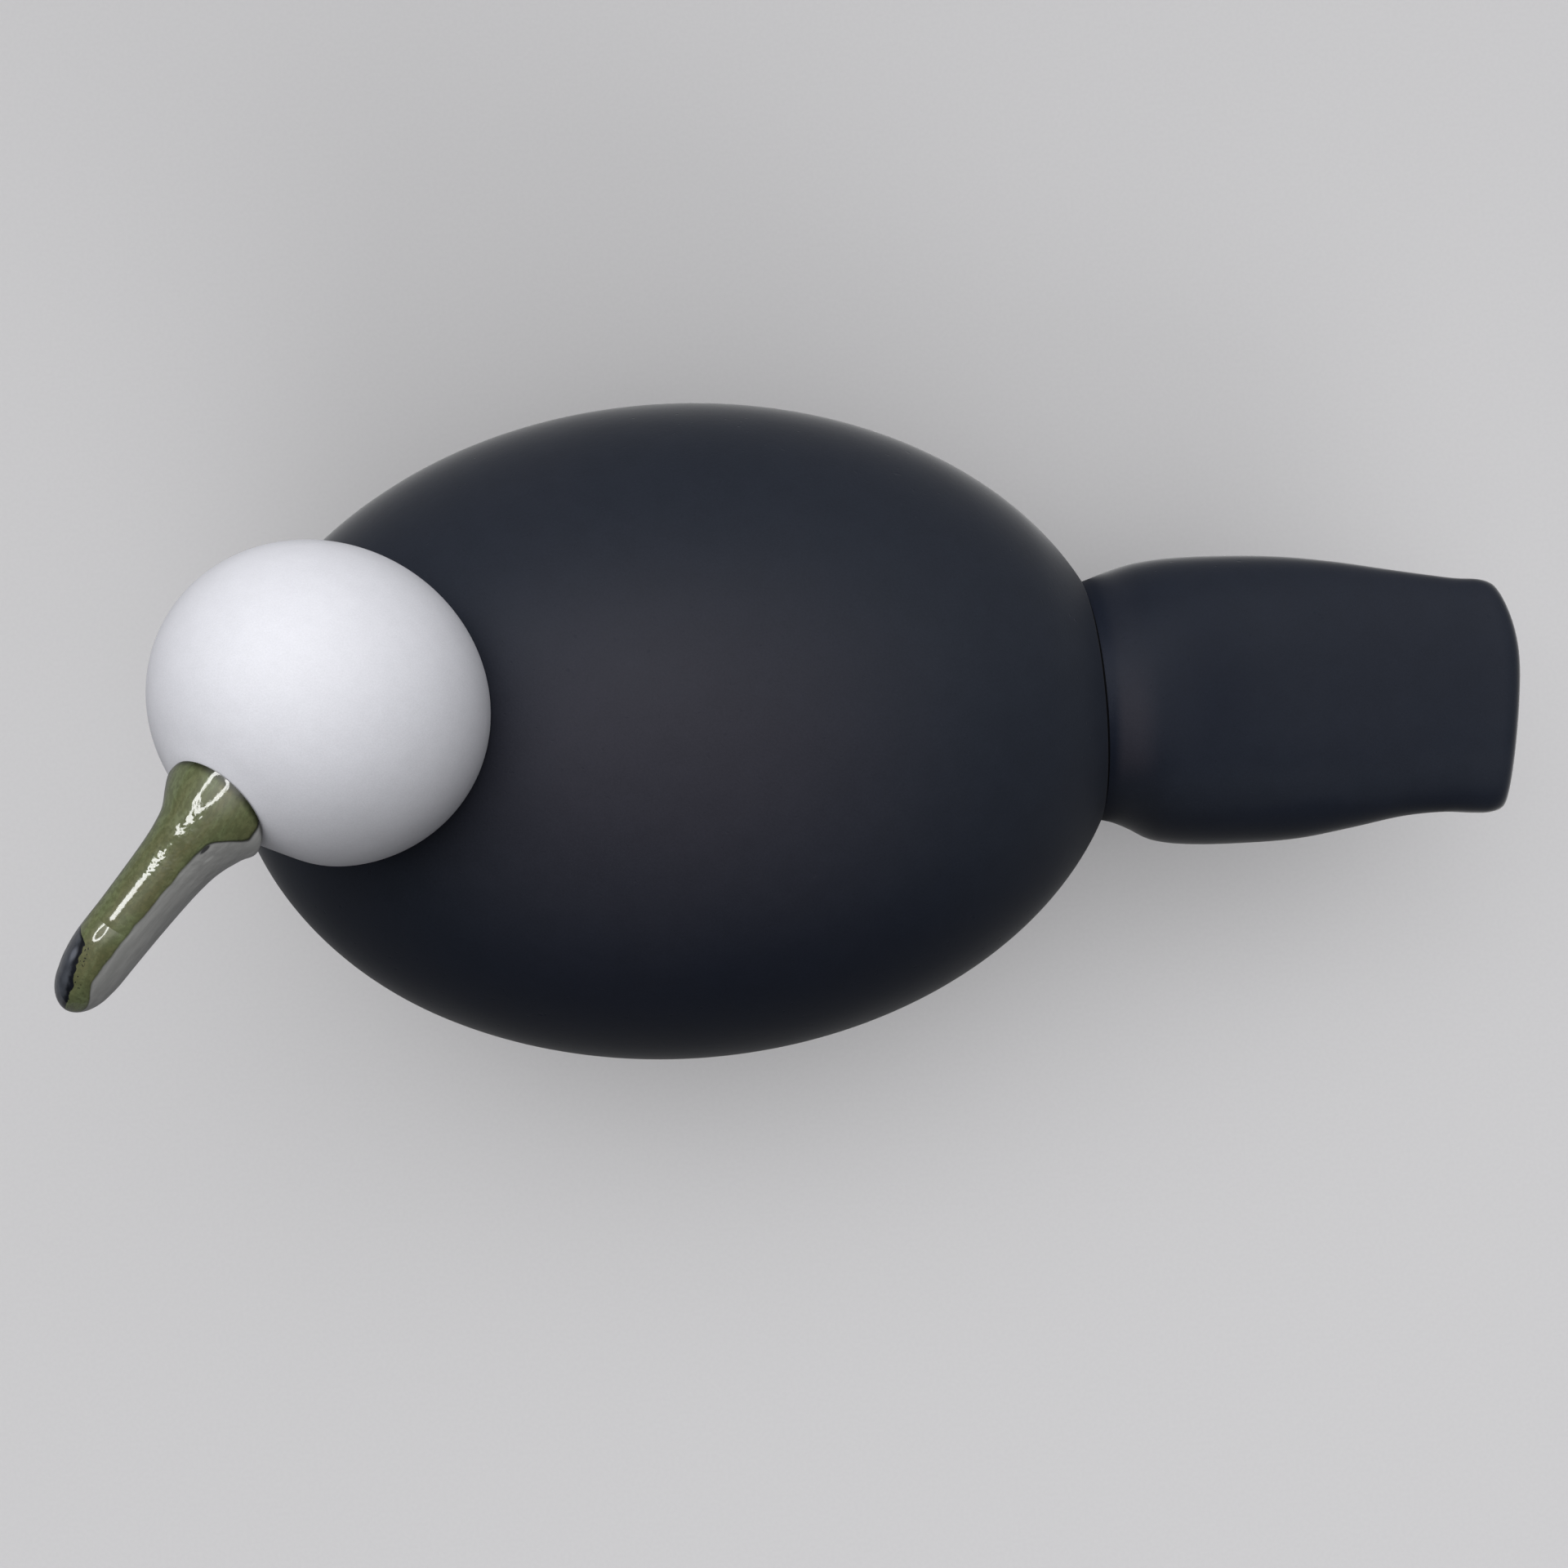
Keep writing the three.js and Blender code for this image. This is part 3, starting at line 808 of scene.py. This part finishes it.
# A painted reflection of the pale floor in grey along the underside, from a sharp edge on the bird's left
# that dives at the root and the tip,
FLOOR_REFLECTION_DARK = (0.285, 0.287, 0.28)
FLOOR_REFLECTION_GREY = (0.345, 0.345, 0.338)
FLOOR_REFLECTION_EDGE = 0.47
FLOOR_REFLECTION_EDGE_WANDER = 0.12
FLOOR_REFLECTION_ROOT_DIVE = (5.2, 1.6, 0.0, 0.62)
FLOOR_REFLECTION_TIP_DIVE = (27.0, 33.0, 0.0, 0.6)
FLOOR_REFLECTION_LEFT = (-0.02, 0.03)
FLOOR_REFLECTION_RIGHT = (2.9, 2.7)
FLOOR_REFLECTION_STREAKS = (0.35, 0.68)
FLOOR_REFLECTION_UNDER = (0.7, 1.7, 1.0, 1.55)
# a painted glint in it, and a thin dark line with a notch where the olive stops.
GLINT = (6.2, 0.84)
GLINT_REACH = (1.1, 0.05)
GLINT_LIGHT = (1.0, 0.4, 1.0, 1.35)
LINE_WIDTH = (0.07, 0.0, 0.0, 0.5)
LINE_UNDER = (1.9, 1.5)
LINE_ALONG = (5.0, 9.0, 1.5, 0.7)
NOTCH = (5.4, 0.58)
NOTCH_REACH = (0.9, 0.06)
NOTCH_DARK = (1.0, 0.5, 0.0, 0.85)


def off_spot(finish, along, turn, spot, reach):
    """Distance from a spot on the bill, where 1 is the spot's edge."""
    away = finish.math("MULTIPLY_ADD", along, 1 / reach[0], -spot[0] / reach[0])
    beside = finish.math("MULTIPLY_ADD", turn, 1 / reach[1], -spot[1] / reach[1])
    return finish.length(away, beside)


def bill_floor_reflection(finish, pull, along, turn, streaks):
    """Share and colour of the painted reflection of the floor, and the share of the dark line at its edge.
    """
    wander = finish.noise(pull, size=3.0, detail=2.0)
    shore = finish.total(
        finish.ramp(along, *FLOOR_REFLECTION_ROOT_DIVE),
        finish.ramp(along, *FLOOR_REFLECTION_TIP_DIVE),
        finish.math("MULTIPLY_ADD", wander, FLOOR_REFLECTION_EDGE_WANDER, FLOOR_REFLECTION_EDGE),
    )
    below = finish.math("SUBTRACT", turn, shore)
    share = finish.product(finish.ramp(below, *FLOOR_REFLECTION_LEFT), finish.ramp(turn, *FLOOR_REFLECTION_RIGHT))
    colour = finish.blend(finish.ramp(streaks, *FLOOR_REFLECTION_STREAKS), FLOOR_REFLECTION_DARK, FLOOR_REFLECTION_GREY)
    colour = finish.tone(colour, finish.ramp(turn, *FLOOR_REFLECTION_UNDER))
    # A painted glint in the reflection.
    glint = off_spot(finish, along, turn, GLINT, GLINT_REACH)
    colour = finish.tone(colour, finish.ramp(glint, *GLINT_LIGHT))
    line = finish.product(
        finish.ramp(finish.math("ABSOLUTE", below), *LINE_WIDTH),
        finish.ramp(turn, *LINE_UNDER),
        finish.ramp(along, *LINE_ALONG),
    )
    notch = off_spot(finish, along, turn, NOTCH, NOTCH_REACH)
    line = finish.math("MAXIMUM", line, finish.ramp(notch, *NOTCH_DARK))
    return share, colour, line


# Blue-black patch on the right of the tip, with an inky border, a pale spot in it that is a painted
# reflection, and specks around it
SLATE = (0.052, 0.057, 0.068)
INK = (0.006, 0.007, 0.010)
REFLECTED_SPOT_COLOUR = (0.16, 0.17, 0.2)
PATCH_START = (21.2, 23.6, -1.6, -0.27)
PATCH_RISE = (23.0, 32.0, 0.0, 0.44)
PATCH_WANDER = 0.22
PATCH_EDGE = (0.0, 0.035)
PATCH_UNDER = (-2.3, -2.1)
PATCH_BORDER = (0.10, 0.34)
PATCH_CLOUDS = (0.3, 0.75, 0.95, 1.5)
REFLECTED_SPOT = (25.5, -0.46)
REFLECTED_SPOT_REACH = (1.25, 0.143)
REFLECTED_SPOT_FADE = (1.2, 0.3, 0.0, 0.8)
SPECKS = (0.64, 0.69)
SPECKS_AROUND = (-0.42, -0.1)
SPECKS_FROM = (22.0, 24.0)


def bill_patch(finish, pull, along, turn):
    """Share and colour of the patch, and the share of the specks."""
    wander = finish.noise(pull, size=0.9, detail=3.0)
    border = finish.total(
        finish.ramp(along, *PATCH_START),
        finish.ramp(along, *PATCH_RISE),
        finish.math("MULTIPLY_ADD", wander, PATCH_WANDER, -PATCH_WANDER / 2),
    )
    inside = finish.math("SUBTRACT", border, turn)
    share = finish.product(finish.ramp(inside, *PATCH_EDGE), finish.ramp(turn, *PATCH_UNDER))
    colour = finish.blend(finish.ramp(inside, *PATCH_BORDER), INK, SLATE)
    colour = finish.tone(colour, finish.ramp(finish.noise(pull, size=1.7, detail=2.0), *PATCH_CLOUDS))
    # The pale spot in the patch is a painted reflection.
    spot = off_spot(finish, along, turn, REFLECTED_SPOT, REFLECTED_SPOT_REACH)
    colour = finish.blend(finish.ramp(spot, *REFLECTED_SPOT_FADE), colour, REFLECTED_SPOT_COLOUR)
    specks = finish.product(
        finish.ramp(finish.noise(pull, size=0.42, detail=1.0), *SPECKS),
        finish.product(finish.ramp(inside, *SPECKS_AROUND), finish.ramp(along, *SPECKS_FROM)),
    )
    return share, colour, specks


# Long swells: steps in height along the bill, a tilt to the right at the root,
SWELL_STEPS = (
    (-2.4, 0.6, 0.0, -0.85),
    (2.4, 5.0, 0.0, 0.07),
    (5.2, 8.2, 0.0, -0.18),
    (5.5, 20.0, 0.0, -0.87),
)
SWELL_TILT = (6.0, -1.0, 0.0, 0.18)
# and a hollow and a low knob on the crown before the tip. The ripples are plainest between root and middle.
HOLLOW_AT = 18.4
HOLLOW_REACH = 1.2
HOLLOW_DEPTH = 0.055
KNOB_AT = 19.6
KNOB_REACH = 3.0
KNOB_RISE = 0.23
KNOB_CURVE = 0.0415
KNOB_TURN = -0.25
KNOB_ACROSS = (0.95, 0.3)
RIPPLED_ROOT = (1.5, 3.5, 0.35, 1.0)
RIPPLED_MIDDLE = (12.5, 9.5, 0.18, 1.0)


def bill_relief(finish, pull, along, side, turn, streaks):
    """Swells, waves, ripples and fine streaks that bend the reflections."""
    hollow = finish.past(along, HOLLOW_AT, HOLLOW_REACH)
    knob = finish.past(along, KNOB_AT, KNOB_REACH)
    height = finish.total(
        finish.product(knob, finish.math("MULTIPLY_ADD", knob, -KNOB_CURVE, KNOB_RISE)),
        finish.product(hollow, finish.product(hollow, -HOLLOW_DEPTH)),
    )
    swell = finish.total(
        *(finish.ramp(along, *step) for step in SWELL_STEPS),
        finish.product(height, finish.ramp(finish.distance(turn, KNOB_TURN), *KNOB_ACROSS)),
        finish.product(side, finish.ramp(along, *SWELL_TILT)),
    )
    rippled = finish.product(finish.ramp(along, *RIPPLED_ROOT), finish.ramp(along, *RIPPLED_MIDDLE))
    ripples = finish.product(finish.noise(pull, size=0.8, detail=1.0), rippled)
    waves = finish.noise(pull, size=2.6, detail=1.0, drawn=0.7)
    return finish.relief((swell, 1.0), (waves, 0.03), (ripples, 0.07), (streaks, 0.006))


BILL_ROUGHNESS = (0.06, 0.11)
FLOOR_REFLECTION_ROUGHER = 0.12


def olive_lustre_glass():
    """Mottled olive glass along the pull of the bill, with a painted reflection of the floor below and
    blue-black on one side of its tip.
    """
    finish = Finish("olive_lustre_glass")
    pull = finish.attribute(BILL_PULL, "Vector")
    past_root = finish.attribute(BILL_PAST_ROOT, "Fac")
    along, side, crown = finish.split(pull)
    turn = finish.math("ARCTAN2", side, crown)
    streaks = finish.noise(pull, size=0.9, detail=4.0, roughness=0.6, drawn=0.16)
    mottle = finish.noise(pull, size=0.75, detail=4.0, roughness=0.65)
    # Painted reflection of the floor along the underside.
    floor_reflection, floor_reflection_colour, line = bill_floor_reflection(finish, pull, along, turn, streaks)
    patch, patch_colour, specks = bill_patch(finish, pull, along, turn)
    colour = finish.blend(floor_reflection, bill_olive(finish, pull, turn, streaks, mottle), floor_reflection_colour)
    # Painted shade at the edge of the root.
    colour = finish.tone(colour, finish.ramp(past_root, *ROOT_EDGE_SHADE))
    colour = finish.blend(specks, colour, INK)
    colour = finish.blend(line, colour, INK)
    return finish.made_of(
        Base_Color=finish.blend(patch, colour, patch_colour),
        Roughness=finish.total(
            finish.ramp(mottle, *NOISE_SPAN, *BILL_ROUGHNESS),
            finish.product(floor_reflection, FLOOR_REFLECTION_ROUGHER),
        ),
        Normal=bill_relief(finish, pull, along, side, turn, streaks),
        Specular_IOR_Level=0.5,
        IOR=GLASS_IOR,
    )


# Floor: plain pale paper that sends less light back on to the bird than the camera sees on it
FLOOR_GREY = (0.385, 0.382, 0.39)
FLOOR_BOUNCE = (0.12, 0.12, 0.123)
FLOOR_GLOSS = 0.1
FIBRE_TONE = (0.99, 1.01)
FIBRE_ROUGHNESS = (0.85, 0.95)


def pale_floor():
    finish = Finish("floor")
    fibre = finish.noise(finish.place(), size=0.8, detail=2.0)
    rays = finish.rays()
    seen = finish.math("MULTIPLY_ADD", rays["Is Glossy Ray"], FLOOR_GLOSS, rays["Is Camera Ray"])
    colour = finish.blend(seen, FLOOR_BOUNCE, FLOOR_GREY)
    return finish.made_of(
        Base_Color=finish.tone(colour, finish.ramp(fibre, *NOISE_SPAN, *FIBRE_TONE)),
        Roughness=finish.ramp(fibre, *NOISE_SPAN, *FIBRE_ROUGHNESS),
        Normal=finish.relief((fibre, 0.01)),
        Specular_IOR_Level=0.0,
    )


body = body_piece(black_satin_glass())
head = head_piece(white_satin_glass())
bill = bill_piece(olive_lustre_glass())
tail = tail_piece(black_satin_tail_glass())

for piece, node, slot in (
    (body, "body", "black_satin_glass"),
    (head, "head", "white_satin_glass"),
    (bill, "bill", "olive_lustre_glass"),
    (tail, "tail", "black_satin_tail_glass"),
):
    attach(piece, "root")
    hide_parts(node)

# Camera: straight down on the bird, turned a little
CAMERA_AT = (18.26 * MM, -10.51 * MM, 321.88 * MM)
CAMERA_ROLL = math.radians(-3.7266)
CAMERA_LENS = 34.6875
CAMERA_SENSOR = 36.0
CAMERA_NEAREST = 0.01
camera_data = bpy.data.cameras.new("camera")
camera_data.sensor_width = CAMERA_SENSOR
camera_data.lens = CAMERA_LENS
camera_data.clip_start = CAMERA_NEAREST
camera = bpy.data.objects.new("camera", camera_data)
camera.location = CAMERA_AT
camera.rotation_euler = (0, 0, CAMERA_ROLL)
bpy.context.scene.collection.objects.link(camera)
bpy.context.scene.camera = camera

# Floor, in metres
FLOOR_RADIUS = 1.5
FLOOR_SIDES = 96
floor_points = [(FLOOR_RADIUS * math.cos(a), FLOOR_RADIUS * math.sin(a), 0) for a in turns(FLOOR_SIDES)]
floor_mesh = bpy.data.meshes.new("floor")
floor_mesh.from_pydata(floor_points, [], [tuple(range(FLOOR_SIDES))])
floor_mesh.materials.append(pale_floor())
floor = bpy.data.objects.new("floor", floor_mesh)
bpy.context.scene.collection.objects.link(floor)

# Studio light: a soft ceiling that is brightest on the bird's right, a ring-shaped lamp over its right
# shoulder, and two soft lights from the other side that only fill the floor's shadows.
# Each part of the ceiling has its azimuth, elevation, tightness and brightness.
CEILING = (
    (0, 90, 14, 1.75),
    (45, 55, 12, 1.9),
    (90, 55, 12, 1.25),
    (135, 55, 12, 2.0),
    (45, 20, 10, 0.5),
)
AMBIENT = 0.02
BACKDROP = 0.53
LAMP_TOWARD = (-0.42, 0.28, 0.86)
LAMP_RADIUS = math.radians(15.5)
LAMP_HALF_WIDTH = math.radians(3)
LAMP_LIGHT = 0.8
LAMP_GLOSS = 16.0
# Each fill light has its name, azimuth, elevation, size in metres and power in watts.
FLOOR_FILLS = (
    ("fill_high", 285, 62, 3.7, 58.0),
    ("fill_low", 280, 24, 2.3, 42.0),
)
FILL_DISTANCE = 3.0


def studio_world():
    world = bpy.data.worlds.new("studio")
    world.use_nodes = True
    studio = Nodes(world.node_tree)
    direction = studio.node("ShaderNodeTexCoord").outputs["Generated"]

    def facing(axis):
        node = studio.node("ShaderNodeVectorMath", operation="DOT_PRODUCT")
        studio.give(node.inputs[0], direction)
        studio.give(node.inputs[1], axis)
        return node.outputs["Value"]

    light = AMBIENT
    for azimuth, elevation, tightness, brightness in CEILING:
        near = facing(toward(math.radians(azimuth), math.radians(elevation)))
        power = studio.math("MULTIPLY_ADD", near, tightness, -tightness)
        light = studio.math("MULTIPLY_ADD", studio.math("EXPONENT", power), brightness, light)
    lamp_angle = studio.math("ARCCOSINE", facing(Vector(LAMP_TOWARD).normalized()))
    ring = studio.math("LESS_THAN", studio.distance(lamp_angle, LAMP_RADIUS), LAMP_HALF_WIDTH)
    rays = studio.rays()
    lamp = studio.math("MULTIPLY_ADD", rays["Is Glossy Ray"], LAMP_GLOSS, LAMP_LIGHT)
    light = studio.math("MULTIPLY_ADD", ring, lamp, light)
    seen = studio.node("ShaderNodeMix")
    studio.give(seen.inputs["Factor"], rays["Is Camera Ray"])
    studio.give(seen.inputs["A"], light)
    studio.give(seen.inputs["B"], BACKDROP)
    background = world.node_tree.nodes["Background"]
    studio.give(background.inputs["Strength"], seen.outputs["Result"])
    background.inputs["Color"].default_value = (1, 1, 1, 1)
    return world


def soft_light(name, azimuth, elevation, size, power):
    data = bpy.data.lights.new(name, "AREA")
    data.shape = "DISK"
    data.size = size
    data.energy = power
    light = bpy.data.objects.new(name, data)
    away = toward(math.radians(azimuth), math.radians(elevation))
    light.location = FILL_DISTANCE * away
    light.rotation_euler = Vector(away).to_track_quat("Z", "Y").to_euler()
    bpy.context.scene.collection.objects.link(light)
    return light


bpy.context.scene.world = studio_world()
floor_only = bpy.data.collections.new("floor_only")
floor_only.objects.link(floor)
for row in FLOOR_FILLS:
    soft_light(*row).light_linking.receiver_collection = floor_only
bpy.context.scene.view_settings.view_transform = "Standard"
